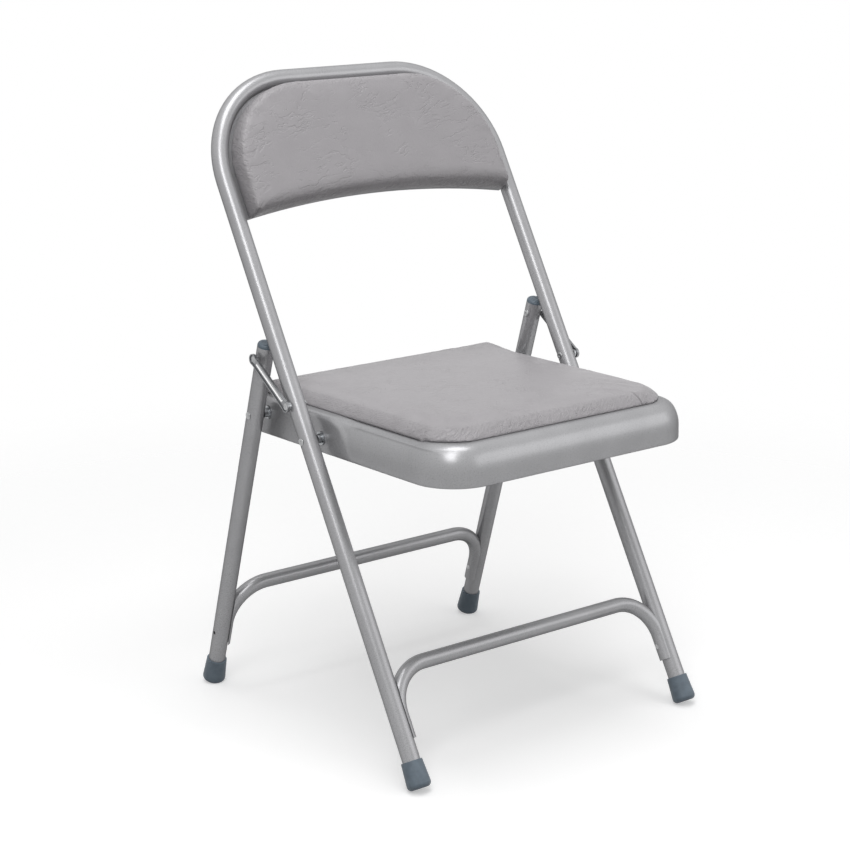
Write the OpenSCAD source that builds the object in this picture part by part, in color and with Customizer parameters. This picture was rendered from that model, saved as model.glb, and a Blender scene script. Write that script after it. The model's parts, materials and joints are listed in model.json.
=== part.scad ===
// Padded steel folding chair: a bent-tube front frame with the back pad, two rear legs,
// a seat that swings between them, and a short link on each side that makes them fold together.
// Millimetres. +Z is up, the chair faces -Y, and the origin is under the middle of its box.
// Left is the -X side and right is the +X side, as seen from in front of the chair.

/* [Stance] */
// Outside diameter of the leg tubes
tube_od = 22.2; // [19:0.1:25.4]
// Wall of the leg tubes
tube_wall = 1.2; // [0.8:0.1:2]
// Distance from the middle plane to the axis of each leg
half_span = 219.5; // [205:0.5:240]
// Angle of the front frame from upright, leaning back
front_lean = 30.2; // [26:0.1:33]
// Angle of the rear legs from upright, leaning forward
rear_lean = 16.4; // [13:0.1:19]
// Distance along the floor from the front leg axes to the rear leg axes
foot_spacing = 455; // [435:1:475]

/* [Front frame] */
// Length along the frame from the floor to the axis of the top bar
frame_rise = 919.2; // [880:0.1:960]
// Bend radius of the two top corners, on the tube axis
arch_radius = 131.8; // [110:0.1:150]

/* [Pivots] */
// Height of the seat pivot along the front tube
seat_pivot_up = 444.4; // [435:0.1:455]
// Distance of the link pivot above the seat pivot
link_pivot_rise = 46.8; // [40:0.1:55]
// Distance along a rear leg from its top end to where it would meet the front tube
leg_top_gap = 34.73; // [33:0.01:45]
// Distance of the link stud below the top end of the rear leg
stud_drop = 15.8; // [14:0.1:20]
// Distance of the link stud above the seat pivot of the rear leg
stud_rise = 80.8; // [70:0.1:90]
// Diameter of the rivet shanks
rivet_d = 6; // [5:0.5:7]
// Diameter of the domed rivet heads
rivet_head_d = 9.5; // [8.5:0.5:12]
// Height of the domed rivet heads
rivet_head_h = 1.3; // [1:0.1:2]
// Diameter of the heads that hold the seat on its rivets from inside
rivet_tail_d = 12; // [9:0.5:14]
// Diameter of the bushes between the seat and the legs
bush_d = 12; // [10:0.5:14]
// Diameter of the flange on each bush
bush_flange_d = 17; // [15:0.5:18]
// Thickness of the flange on each bush
bush_flange_t = 1.6; // [1:0.1:2.5]

/* [Cross braces] */
// Outside diameter of the brace tubes
brace_od = 19.05; // [16:0.05:20]
// Wall of the brace tubes
brace_wall = 1.2; // [0.8:0.1:1.6]
// Bend radius of the braces, on the tube axis
brace_bend = 54; // [45:1:65]
// Height of the front brace along the front frame
front_brace_up = 149.5; // [140:0.5:170]
// Height of the rear brace along the rear legs
rear_brace_up = 146; // [140:0.5:170]
// Distance from the brace axis down to its cut ends
brace_drop = 85; // [75:1:95]
// Distance that the brace ends sit inboard of the leg axes
brace_inset = 5.9; // [5:0.1:7]
// Gap between a leg and the hollowed side of a brace end
cope_gap = 0.8; // [0.5:0.1:1]
// Height of the brace rivets above the brace ends
brace_rivet_rise = 19; // [12:1:25]
// Diameter of the brace rivet shanks
brace_rivet_d = 4; // [3:0.5:5]
// Diameter of the brace rivet heads
brace_rivet_head_d = 6.4; // [6:0.2:8]
// Diameter of the tool holes on the outer side of the rear legs
tool_hole_d = 5; // [4:0.5:6]

/* [Feet] */
// Wall of the feet at their widest
foot_wall = 3.9; // [3:0.1:4.5]
// Wall of the feet at their top
foot_top_wall = 2.1; // [1.5:0.1:2.8]
// Length of the feet along the legs
foot_length = 34; // [28:1:42]
// Rounding of the lower edge of the feet
foot_edge = 6; // [4:0.5:8]
// Thickness of the foot under the end of the tube
foot_floor = 6; // [4:0.5:8]
// Depth that wear has flattened off the lowest edge of each foot
foot_wear = 0.8; // [0.4:0.1:1.2]
// Height of the domed plug above the end of a rear leg
plug_h = 5.5; // [4:0.5:7]
// Rounding of the plug
plug_round = 4.5; // [3:0.5:5.5]
// Length of the plug stem inside the tube
plug_stem = 12; // [8:1:12]
// Wall of the hollow plug stem
plug_wall = 2; // [1.5:0.1:3]

/* [Seat pan] */
// Slope of the seat, down towards the back
seat_slope = 0.93; // [0:0.01:4]
// Gap between a leg and the side of the seat, filled by the bush
hinge_gap = 7.9; // [7:0.1:10]
// Distance from the seat pivot forward to the front of the pan
pan_front = 246; // [235:0.1:260]
// Distance from the pivot of the rear legs back to the rear of the pan
pan_behind = 39.4; // [38:0.1:45]
// Depth of the pan below the seat pivot
pan_below = 18.4; // [16:0.1:22]
// Height of the pan above the seat pivot
pan_above = 30; // [28:0.5:34]
// Radius of the front corners of the pan
pan_front_r = 58; // [50:1:90]
// Radius of the rear corners of the pan
pan_rear_r = 26; // [22:1:27]
// Radius of the rounded shoulder of the pan at its top
pan_roll = 26; // [22:1:30]
// Radius of the shoulder lower down, where it runs into the side
shoulder_r = 45; // [40:1:55]
// Distance from the top of the pan down to where the side begins to turn in
shoulder_drop = 32; // [26:1:36]
// Distance that the upper roll starts outside the side, which makes the crease
shoulder_proud = 1; // [0.5:0.1:2]
// Thickness of the pan sheet
pan_sheet = 1.2; // [0.8:0.1:1.6]
// Width of the hem turned in along the lower edge
pan_hem = 8; // [5:0.5:9]
// Radius of the upper edge where the sides are pressed flat for the hinges
flat_roll = 6; // [4:0.5:8]
// Distance from the seat pivot forward to the foot of the flat side
flat_front = 64; // [50:1:80]
// Distance that the front of the flat side leans back over the height of the pan
flat_rake = 31; // [15:1:40]
// Thickness of the plates that stiffen the hinged sides
plate_t = 2; // [1.5:0.1:3]
// Gap between a stiffening plate and the bends of the pan above and below it
plate_gap = 0.6; // [0.4:0.1:1.5]
// Distance that a stiffening plate reaches past each pivot
plate_reach = 12; // [11:0.5:13]

/* [Seat cushion] */
// Distance from the side of the pan to the side of the cushion
cushion_side = 13.5; // [10:0.5:20]
// Distance from the front of the pan to the front of the cushion
cushion_set_back = 22.8; // [20:0.1:30]
// Distance from the rear of the pan to the rear of the cushion
cushion_set_in = 7; // [6:0.5:12]
// Height of the cushion above the pan
cushion_h = 16.2; // [14:0.1:30]
// Radius of the front corners of the cushion
cushion_front_r = 58; // [40:1:70]
// Radius of the rear corners of the cushion
cushion_rear_r = 27; // [16:1:30]
// Radius of the rolled upper edge of the cushion
cushion_roll = 15; // [8:0.5:15.5]
// Thickness of the fibreboards under the two pads
board_t = 5; // [4:0.5:8]
// Distance from the edge of a pad to the edge of its board
board_inset = 6; // [4:0.5:12]
// Diameter of the pad screws
screw_d = 4; // [3:0.5:5]
// Diameter of the pad screw heads
screw_head_d = 9; // [8:0.5:11]
// Height of the pad screw heads
screw_head_h = 2.6; // [2:0.1:3.5]
// Depth that the pad screws reach into their board
screw_bite = 4; // [3:0.5:4.5]
// Distance of the seat screws in from the edges of the cushion
seat_screw_inset = 60; // [45:1:80]

/* [Back] */
// Distance from the axis of the top bar down to the lower corners of the back pad
back_height = 186.7; // [175:0.1:205]
// Rise of the lower edge of the back pad from its corners to its middle
back_low_rise = 17.2; // [8:0.1:25]
// Gap between the frame tube and the edge of the back pad
pad_gap = 3.1; // [2:0.1:5]
// Depth of the back pad in front of the tube axes
pad_depth = 30; // [24:0.5:40]
// Radius of the rolled edge of the back pad along the tube
pad_roll = 9; // [6:0.5:14]
// Radius of the rolled lower edge of the back pad
pad_low_roll = 12; // [8:0.5:18]
// Thickness of the back panel sheet
panel_sheet = 1.2; // [0.8:0.1:1.6]
// Depth of the rim turned back around the panel
panel_rim = 8; // [5:0.5:10]
// Distance that the panel stops short of the lower edge of the back pad
panel_inset = 3; // [2:0.5:5]
// Width of the flat border around the raised middle of the panel
panel_border = 30; // [26:1:40]
// Height of the raised middle of the panel
panel_swage = 1.8; // [1:0.1:2.5]
// Distance of the back screws in from the tube
back_screw_inset = 17; // [16:0.5:19]

/* [Links] */
// Gap between the tubes and the links, filled by the spacers
link_standoff = 3.7; // [3:0.1:5]
// Thickness of the link plates
link_t = 1.6; // [1.2:0.1:2.5]
// Diameter of the rounded link ends
link_end_d = 14; // [13:0.5:16]
// Width of the links between their ends
link_w = 12.6; // [11:0.1:13]
// Width of the rim turned up around each link
link_rim_w = 1.2; // [0.8:0.1:1.5]
// Height of the rim above the link plate
link_rim_h = 1.6; // [0.8:0.1:2]
// Diameter of the raised bead along each link
link_bead_d = 3; // [2:0.1:4]
// Diameter of the spacers under the links
spacer_d = 11; // [9:0.5:12]

/* [Fits] */
// Radial clearance of a rivet, screw, stem or tube in its hole
fit = 0.05; // [0.02:0.01:0.1]
// Side clearance of the pieces that turn
side_play = 0.1; // [0.1:0.05:0.2]
// Clearance around the soft pads
soft_gap = 0.3; // [0.2:0.05:0.5]

/* [Hidden] */
$fn = 48;
cut = 1;
tube_r = tube_od / 2;
tube_id = tube_od - 2 * tube_wall;
inner_face = half_span - tube_r;
outer_face = half_span + tube_r;
foot_d = tube_od + 2 * foot_wall;
foot_top_d = tube_od + 2 * foot_top_wall;

// The rear legs stop short of the front tubes, and their pivots hang from that end
leg_top_up = foot_spacing * cos(front_lean) / sin(front_lean + rear_lean) - leg_top_gap;
stud_up = leg_top_up - stud_drop;
leg_pivot_up = stud_up - stud_rise;
link_pivot_up = seat_pivot_up + link_pivot_rise;

// Places along the two tube axes, as [y, z] with y from the front tubes' footing
function on_front(up) = [up * sin(front_lean), up * cos(front_lean)];
function on_rear(up) = [foot_spacing - up * sin(rear_lean), up * cos(rear_lean)];
seat_pivot = on_front(seat_pivot_up);
leg_pivot = on_rear(leg_pivot_up);
link_pivot = on_front(link_pivot_up);
stud = on_rear(stud_up);

// The chair's box along Y runs from the pan's lower front edge to the back of the top bar
front_reach = seat_pivot.x - pan_front * cos(seat_slope) - pan_below * sin(seat_slope);
back_reach = frame_rise * sin(front_lean) + tube_r;
y_shift = -(front_reach + back_reach) / 2;

// A leaning foot's rounded edge touches the floor, less what has worn off
function foot_base(lean) =
    (foot_edge + (foot_d / 2 - foot_edge) * sin(lean) - foot_wear) / cos(lean) - foot_edge;
front_tube_end = foot_base(front_lean) + foot_floor;
rear_tube_end = foot_base(rear_lean) + foot_floor;

// Where the seat meets the legs
hinge_face = inner_face - hinge_gap;
pan_half_w = hinge_face;
plate_face = hinge_face - pan_sheet - plate_t;
leg_pivot_turn = leg_pivot - seat_pivot;
leg_pivot_y = leg_pivot_turn.x * cos(seat_slope) - leg_pivot_turn.y * sin(seat_slope);
leg_pivot_z = leg_pivot_turn.x * sin(seat_slope) + leg_pivot_turn.y * cos(seat_slope);
pan_rear = leg_pivot_y + pan_behind;
// A stiffening plate fills the flat of the side, from above the hem to below the rolled edge
plate_bottom = -pan_below + pan_sheet + plate_gap;
plate_top = pan_above - flat_roll - plate_gap;
plate_h = plate_top - plate_bottom;

// The cushion is set in from the edges of the pan
cushion_half_w = pan_half_w - cushion_side;
cushion_front = pan_front - cushion_set_back;
cushion_rear = pan_rear - cushion_set_in;

// The link lies along the line from its pivot to its stud
link_run = stud - link_pivot;
link_length = norm(link_run);
link_angle = atan2(link_run.y, link_run.x);
link_face = outer_face + link_standoff;
link_head_face = link_face + side_play + link_t + side_play;

// The back fills the arch, with a lower edge that is an arc
arch_centre_x = half_span - arch_radius;
arch_centre_up = frame_rise - arch_radius;
pad_half_w = inner_face - pad_gap;
back_low_up = frame_rise - back_height;
low_arc_r = (pow(pad_half_w, 2) + pow(back_low_rise, 2)) / (2 * back_low_rise);
low_mid_up = back_low_up + back_low_rise;

// ---- Frames of reference ----

// Z runs up the front tubes, and Y points out of the back of the front frame
module in_front_plane() {
    translate([0, y_shift, 0]) rotate([-front_lean, 0, 0]) children();
}

// Z runs up the rear legs
module in_rear_plane() {
    translate([0, foot_spacing + y_shift, 0]) rotate([rear_lean, 0, 0]) children();
}

// The seat pivot is the origin, and the seat's top is level
module in_seat() {
    translate([0, seat_pivot.x + y_shift, seat_pivot.y]) rotate([-seat_slope, 0, 0]) children();
}

// The link pivot is the origin, and Y runs along the link to its stud
module in_link() {
    translate([0, link_pivot.x + y_shift, link_pivot.y]) rotate([link_angle, 0, 0]) children();
}

module on_left() {
    mirror([1, 0, 0]) children();
}

module both_sides() {
    children();
    on_left() children();
}

// ---- Shapes that repeat ----

// A round bar along X
module bar_x(d, from, to) {
    translate([from, 0, 0]) rotate([0, 90, 0]) cylinder(d = d, h = to - from);
}

// A flat shape drawn in Y and Z, and thick along X
module sheet_x(from, t) {
    translate([from, 0, 0]) rotate([90, 0, 90]) linear_extrude(t) children();
}

// A flat shape drawn in X and Z, and thick along Y
module sheet_y(from, t) {
    translate([0, from + t, 0]) rotate([90, 0, 0]) linear_extrude(t) children();
}

// A domed head whose flat side faces -X
module rivet_head(d, h) {
    dome_r = (pow(d / 2, 2) + pow(h, 2)) / (2 * h);
    rotate([0, 90, 0]) intersection() {
        cylinder(d = d, h = h);
        translate([0, 0, h - dome_r]) sphere(r = dome_r, $fn = 96);
    }
}

// A round bar bent into an upside-down U
module bent_bar(half, bend, top, foot, d) {
    both_sides() {
        translate([half, 0, foot]) cylinder(d = d, h = top - bend - foot);
        translate([half - bend, 0, top - bend]) rotate([90, 0, 0]) rotate_extrude(angle = 90)
            translate([bend, 0]) circle(d = d);
    }
    translate([0, 0, top]) bar_x(d, bend - half, half - bend);
}

// Half of an upright cut through an edge that is rolled at the top
module rolled_edge(reach, h, roll) {
    square([reach, h - roll]);
    square([reach - roll, h]);
    translate([reach - roll, h - roll]) intersection() {
        circle(r = roll);
        square(roll);
    }
}

// A flat-topped form with round corners and a rolled upper edge
module rolled_form(half_w, front, rear, h, front_r, rear_r, roll) {
    both_sides() {
        translate([half_w - front_r, -front + front_r, 0])
            rotate_extrude() rolled_edge(front_r, h, roll);
        translate([half_w - rear_r, rear - rear_r, 0])
            rotate_extrude() rolled_edge(rear_r, h, roll);
        translate([0, rear - rear_r, 0]) rotate([90, 0, 0])
            linear_extrude(front + rear - front_r - rear_r) rolled_edge(half_w, h, roll);
    }
    translate([0, -front + front_r, 0]) mirror([0, 1, 0])
        sheet_x(front_r - half_w, 2 * (half_w - front_r)) rolled_edge(front_r, h, roll);
    translate([0, rear - rear_r, 0])
        sheet_x(rear_r - half_w, 2 * (half_w - rear_r)) rolled_edge(rear_r, h, roll);
}

// The plan of such a form, drawn in by inset
module rolled_plan(half_w, front, rear, front_r, rear_r, inset) {
    for (side = [-1, 1]) {
        translate([side * (half_w - front_r), -front + front_r]) circle(r = front_r - inset);
        translate([side * (half_w - rear_r), rear - rear_r]) circle(r = rear_r - inset);
    }
    translate([inset - half_w, -front + front_r])
        square([2 * (half_w - inset), front + rear - front_r - rear_r]);
    translate([front_r - half_w, -front + inset]) square([2 * (half_w - front_r), front_r]);
    translate([rear_r - half_w, rear - rear_r]) square([2 * (half_w - rear_r), rear_r - inset]);
}

// ---- Tubes, braces and feet ----

// A cross brace with its ends hollowed to lie along the legs
module brace(up) {
    end = up - brace_drop;
    half = half_span - brace_inset;
    difference() {
        bent_bar(half, brace_bend, up, end, brace_od);
        bent_brace_bore(half, up);
        both_sides() {
            translate([half_span, 0, end - cut])
                cylinder(d = tube_od + 2 * cope_gap, h = brace_drop + brace_od);
            translate([0, 0, end + brace_rivet_rise])
                bar_x(brace_rivet_d + 2 * fit, half - brace_od, half_span);
        }
    }
}

// The bore of a brace stops where its pressed ends begin
module bent_brace_bore(half, up) {
    difference() {
        bent_bar(half, brace_bend, up, up - brace_bend, brace_od - 2 * brace_wall);
        both_sides() translate([half_span, 0, up - brace_bend - cut])
            cylinder(d = tube_od + 2 * (cope_gap + brace_wall), h = brace_bend + brace_od);
    }
}

// A pulled rivet through a brace end and the near wall of its leg
module brace_rivet(up) {
    head_face = half_span - brace_inset - brace_od / 2;
    // The tail spans the curved inside of the leg
    tail_face = half_span - sqrt(pow(tube_id / 2, 2) - pow(brace_rivet_head_d / 2, 2)) + fit;
    translate([0, 0, up - brace_drop + brace_rivet_rise]) {
        bar_x(brace_rivet_d, head_face, tail_face + fit);
        translate([head_face, 0, 0]) mirror([1, 0, 0]) rivet_head(brace_rivet_head_d, rivet_head_h);
        translate([tail_face, 0, 0]) rivet_head(brace_rivet_head_d, rivet_head_h);
    }
}

module brace_rivet_hole(up) {
    translate([0, 0, up - brace_drop + brace_rivet_rise])
        bar_x(brace_rivet_d + 2 * fit, inner_face - cut, half_span);
}

// A moulded foot in the leg's own frame, worn flat where it meets the floor
module foot_profile() {
    foot_r = foot_d / 2;
    square([foot_r - foot_edge, foot_edge]);
    translate([foot_r - foot_edge, foot_edge]) intersection() {
        circle(r = foot_edge);
        translate([0, -foot_edge]) square(foot_edge);
    }
    polygon([[0, foot_edge], [foot_r, foot_edge], [foot_top_d / 2, foot_length], [0, foot_length]]);
}

module foot(lean) {
    translate([half_span, 0, foot_base(lean)]) difference() {
        rotate_extrude() foot_profile();
        translate([0, 0, foot_floor]) cylinder(d = tube_od + 2 * fit, h = foot_length);
    }
}

module above_floor() {
    difference() {
        children();
        translate([-2 * half_span, -foot_spacing, -foot_length])
            cube([4 * half_span, 2 * foot_spacing, foot_length]);
    }
}

// A straight rear leg with its rivet holes and the tool hole opposite the brace rivet
module rear_leg() {
    translate([half_span, 0, rear_tube_end]) difference() {
        cylinder(d = tube_od, h = leg_top_up - rear_tube_end);
        translate([0, 0, -cut]) cylinder(d = tube_id, h = leg_top_up - rear_tube_end + 2 * cut);
        translate([-half_span, 0, -rear_tube_end]) {
            for (up = [leg_pivot_up, stud_up])
                translate([0, 0, up]) bar_x(rivet_d + 2 * fit, inner_face - cut, outer_face + cut);
            brace_rivet_hole(rear_brace_up);
            translate([0, 0, rear_brace_up - brace_drop + brace_rivet_rise])
                bar_x(tool_hole_d, half_span, outer_face + cut);
        }
    }
}

module rear_plug() {
    translate([half_span, 0, leg_top_up]) {
        rotate_extrude() rolled_edge(tube_r, plug_h, plug_round);
        translate([0, 0, -plug_stem]) difference() {
            cylinder(d = tube_id - 2 * fit, h = plug_stem);
            translate([0, 0, -plug_wall])
                cylinder(d = tube_id - 2 * fit - 2 * plug_wall, h = plug_stem);
        }
    }
}

// ---- Hinge hardware ----

// A rivet from the inside of the seat through a leg, with its head on the leg's outer side
module seat_rivet() {
    bar_x(rivet_d, plate_face - side_play, outer_face + fit);
    translate([outer_face, 0, 0]) rivet_head(rivet_head_d, rivet_head_h);
    translate([plate_face - side_play, 0, 0]) mirror([1, 0, 0])
        rivet_head(rivet_tail_d, rivet_head_h);
}

// A flanged bush between the seat's side and a leg
module seat_bush() {
    difference() {
        union() {
            bar_x(bush_d, hinge_face + side_play, inner_face);
            bar_x(bush_flange_d, hinge_face + side_play, hinge_face + side_play + bush_flange_t);
        }
        bar_x(rivet_d + 2 * fit, hinge_face - cut, inner_face + cut);
    }
}

// ---- Seat ----

// The pan's form with flat sides, drawn in by inset and lowered by drop
module flat_form(inset, drop) {
    translate([0, 0, -pan_below - drop])
        rolled_form(pan_half_w - inset, pan_front - inset, pan_rear - inset,
                    pan_below + pan_above - inset + drop,
                    pan_front_r - inset, pan_rear_r - inset, flat_roll - inset);
}

// The rear of the seat, where the sides are pressed flat for the hinges
module flat_sides(inset) {
    over = pan_below + pan_above;
    sheet_x(-half_span, 2 * half_span) polygon([
        [-flat_front - flat_rake + inset, -pan_below - over],
        [-flat_front + 2 * flat_rake + inset, pan_above + over],
        [2 * pan_rear, pan_above + over],
        [2 * pan_rear, -pan_below - over],
    ]);
}

// The front of the pan: two rounded forms meet at a soft crease along the shoulder
module shoulder_form(inset, drop) {
    proud = shoulder_proud - inset;
    translate([0, 0, -pan_below - drop]) intersection() {
        rolled_form(pan_half_w - inset, pan_front - inset, pan_rear + 2 * shoulder_r,
                    pan_below + pan_above - shoulder_drop + shoulder_r - inset + drop,
                    pan_front_r - inset, pan_front_r - inset, shoulder_r - inset);
        rolled_form(pan_half_w + proud, pan_front + proud, pan_rear + 3 * shoulder_r,
                    pan_below + pan_above - inset + drop,
                    pan_front_r + proud, pan_front_r + proud, pan_roll - inset);
        translate([-half_span, -2 * pan_front, -half_span])
            cube([2 * half_span, 2 * pan_front, 2 * half_span]);
    }
}

module pan_solid(inset, drop) {
    shoulder_form(inset, drop);
    intersection() {
        flat_form(inset, drop);
        flat_sides(inset);
    }
}

module pan_hem() {
    translate([0, 0, -pan_below]) linear_extrude(pan_sheet) difference() {
        rolled_plan(pan_half_w, pan_front, pan_rear, pan_front_r, pan_rear_r, pan_sheet / 2);
        rolled_plan(pan_half_w, pan_front, pan_rear, pan_front_r, pan_rear_r, pan_sheet + pan_hem);
    }
}

// Places of the four screws under the cushion
module at_seat_screws() {
    for (x = [-1, 1], y = [-cushion_front + seat_screw_inset, cushion_rear - seat_screw_inset])
        translate([x * (cushion_half_w - seat_screw_inset), y, pan_above]) children();
}

module cushion_form(inset, h, roll) {
    rolled_form(cushion_half_w - inset, cushion_front - inset, cushion_rear - inset, h,
                cushion_front_r - inset, cushion_rear_r - inset, roll);
}

module seat_board_plan(inset) {
    rolled_plan(cushion_half_w, cushion_front, cushion_rear, cushion_front_r, cushion_rear_r, inset);
}

// A screw that points along +Z, with the underside of its head at the origin
module pad_screw(grip) {
    cylinder(d = screw_d, h = grip + screw_bite);
    rotate([0, 90, 0]) rivet_head(screw_head_d, screw_head_h);
}

// ---- Back ----

// The area inside the arch, drawn in by inset from the tube and from the lower arc by low
module back_outline(inset, low) {
    half = inner_face - inset;
    corner_r = arch_radius - tube_r - inset;
    difference() {
        union() {
            for (side = [-1, 1])
                translate([side * arch_centre_x, arch_centre_up]) circle(r = corner_r);
            translate([-arch_centre_x, arch_centre_up]) square([2 * arch_centre_x, corner_r]);
            translate([-half, back_low_up - arch_radius])
                square([2 * half, arch_centre_up - back_low_up + arch_radius]);
        }
        translate([0, low_mid_up - low_arc_r]) circle(r = low_arc_r + low, $fn = 720);
    }
}

// Places of the four screws behind the back pad, with Z pointing forward into the board
module at_back_screws() {
    r = arch_radius - tube_r - back_screw_inset;
    both_sides() for (angle = [-12, 58])
        translate([arch_centre_x + r * cos(angle), panel_sheet, arch_centre_up + r * sin(angle)])
            rotate([90, 0, 0]) children();
}

// ---- Links ----

module link_outline(inset) {
    for (y = [0, link_length]) translate([y, 0]) circle(d = link_end_d - 2 * inset);
    translate([0, inset - link_w / 2]) square([link_length, link_w - 2 * inset]);
}

module link() {
    plate_in = link_face + side_play;
    plate_out = plate_in + link_t;
    bead_from = link_end_d / 2 + link_bead_d;
    bead_to = link_length - bead_from;
    difference() {
        union() {
            sheet_x(plate_in, link_t) link_outline(0);
            sheet_x(plate_out - fit, link_rim_h + fit) difference() {
                link_outline(0);
                link_outline(link_rim_w);
            }
            translate([plate_out, bead_from, 0]) rotate([-90, 0, 0])
                cylinder(d = link_bead_d, h = bead_to - bead_from);
            for (y = [bead_from, bead_to])
                translate([plate_out, y, 0]) sphere(d = link_bead_d);
        }
        translate([plate_in - link_bead_d, -link_w / 2, -link_w / 2])
            cube([link_bead_d, link_length + link_w, link_w]);
        for (y = [0, link_length])
            translate([0, y, 0]) bar_x(rivet_d + 2 * fit, plate_in - cut, plate_out + cut);
    }
}

// The stud turns with the link; it ends just clear of the rear leg
module link_stud() {
    translate([0, link_length, 0]) {
        bar_x(rivet_d, outer_face + soft_gap, link_head_face + fit);
        bar_x(spacer_d, outer_face + soft_gap, link_face + side_play);
        translate([link_head_face - side_play, 0, 0]) rivet_head(rivet_head_d, rivet_head_h);
    }
}

// ---- Sub-parts of the front frame ----

module front_frame_tube() {
    color("silver") in_front_plane() difference() {
        bent_bar(half_span, arch_radius, frame_rise, front_tube_end, tube_od);
        bent_bar(half_span, arch_radius, frame_rise, front_tube_end - cut, tube_id);
        both_sides() {
            for (up = [seat_pivot_up, link_pivot_up])
                translate([0, 0, up]) bar_x(rivet_d + 2 * fit, inner_face - cut, outer_face + cut);
            brace_rivet_hole(front_brace_up);
        }
    }
}

module front_cross_brace() {
    color("silver") in_front_plane() brace(front_brace_up);
}

module front_brace_rivets() {
    color("gainsboro") in_front_plane() both_sides() brace_rivet(front_brace_up);
}

module front_glide_right() {
    color("slategray") above_floor() in_front_plane() foot(front_lean);
}

module front_glide_left() {
    on_left() front_glide_right();
}

module back_panel() {
    color("silver") in_front_plane() difference() {
        union() {
            sheet_y(0, panel_sheet) back_outline(fit, panel_inset);
            sheet_y(0, panel_rim) difference() {
                back_outline(fit, panel_inset);
                back_outline(fit + panel_sheet, panel_inset + panel_sheet);
            }
            sheet_y(0, panel_sheet + panel_swage) back_outline(panel_border, panel_border);
        }
        sheet_y(-cut, panel_swage + cut)
            back_outline(panel_border + panel_sheet, panel_border + panel_sheet);
        at_back_screws() cylinder(d = screw_d + 2 * fit, h = 4 * panel_sheet, center = true);
    }
}

module back_board() {
    color("peru") in_front_plane() difference() {
        sheet_y(-board_t, board_t) back_outline(pad_gap + board_inset, board_inset);
        at_back_screws()
            cylinder(d = screw_d + 2 * fit, h = panel_sheet + screw_bite + soft_gap);
    }
}

module back_pad() {
    color("darkgray") in_front_plane() difference() {
        intersection() {
            rotate([90, 0, 0]) translate([0, back_low_up, soft_gap])
                rolled_form(pad_half_w, arch_radius, frame_rise - tube_r - pad_gap - back_low_up,
                            pad_depth - soft_gap, pad_roll + cut,
                            arch_radius - tube_r - pad_gap, pad_roll);
            rotate([90, 0, 0]) translate([0, low_mid_up - low_arc_r, soft_gap])
                rotate_extrude($fn = 360) translate([low_arc_r + 2 * arch_radius, 0])
                    mirror([1, 0]) rolled_edge(2 * arch_radius, pad_depth - soft_gap, pad_low_roll);
        }
        sheet_y(-board_t - soft_gap, board_t + soft_gap)
            back_outline(pad_gap + board_inset - soft_gap, board_inset - soft_gap);
    }
}

module back_screws() {
    color("gainsboro") in_front_plane() at_back_screws() pad_screw(panel_sheet);
}

module seat_pivot_rivets() {
    color("gainsboro") in_front_plane() both_sides() translate([0, 0, seat_pivot_up]) seat_rivet();
}

module seat_pivot_bushes() {
    color("dimgray") in_front_plane() both_sides() translate([0, 0, seat_pivot_up]) seat_bush();
}

module link_pivot_rivets() {
    color("gainsboro") in_front_plane() both_sides() translate([0, 0, link_pivot_up]) {
        bar_x(rivet_d, inner_face - fit, link_head_face + fit);
        translate([link_head_face, 0, 0]) rivet_head(rivet_head_d, rivet_head_h);
        translate([inner_face, 0, 0]) mirror([1, 0, 0]) rivet_head(rivet_head_d, rivet_head_h);
    }
}

module link_pivot_spacers() {
    color("dimgray") in_front_plane() both_sides() translate([0, 0, link_pivot_up]) difference() {
        bar_x(spacer_d, outer_face, link_face);
        bar_x(rivet_d + 2 * fit, outer_face - cut, link_face + cut);
    }
}

// ---- Sub-parts of the seat ----

module seat_pan() {
    color("silver") in_seat() difference() {
        union() {
            difference() {
                pan_solid(0, 0);
                pan_solid(pan_sheet, cut);
            }
            pan_hem();
        }
        both_sides() {
            bar_x(rivet_d + 2 * fit, plate_face, pan_half_w);
            translate([0, leg_pivot_y, leg_pivot_z])
                bar_x(rivet_d + 2 * fit, plate_face, pan_half_w);
        }
        at_seat_screws() cylinder(d = screw_d + 2 * fit, h = 4 * pan_sheet, center = true);
    }
}

module hinge_plate_right() {
    corner = plate_reach;
    color("silver") in_seat() difference() {
        sheet_x(plate_face, plate_t) translate([-plate_reach + corner, plate_bottom + corner]) {
            run = leg_pivot_y + 2 * (plate_reach - corner);
            rise = plate_h - 2 * corner;
            for (y = [0, run], z = [0, rise]) translate([y, z]) circle(r = corner);
            translate([-corner, 0]) square([run + 2 * corner, rise]);
            translate([0, -corner]) square([run, rise + 2 * corner]);
        }
        bar_x(rivet_d + 2 * fit, plate_face - cut, hinge_face);
        translate([0, leg_pivot_y, leg_pivot_z])
            bar_x(rivet_d + 2 * fit, plate_face - cut, hinge_face);
    }
}

module hinge_plate_left() {
    on_left() hinge_plate_right();
}

module seat_board() {
    color("peru") in_seat() difference() {
        translate([0, 0, pan_above]) linear_extrude(board_t) seat_board_plan(board_inset);
        at_seat_screws() cylinder(d = screw_d + 2 * fit, h = screw_bite + soft_gap);
    }
}

module seat_cushion() {
    color("darkgray") in_seat() difference() {
        translate([0, 0, pan_above + soft_gap])
            cushion_form(0, cushion_h - soft_gap, cushion_roll);
        translate([0, 0, pan_above]) linear_extrude(board_t + soft_gap)
            seat_board_plan(board_inset - soft_gap);
    }
}

module seat_screws() {
    color("gainsboro") in_seat() at_seat_screws() translate([0, 0, -pan_sheet])
        pad_screw(pan_sheet);
}

// ---- Sub-parts of the rear legs ----

module rear_leg_right() {
    color("silver") in_rear_plane() rear_leg();
}

module rear_leg_left() {
    on_left() rear_leg_right();
}

module rear_cross_brace() {
    color("silver") in_rear_plane() brace(rear_brace_up);
}

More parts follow.
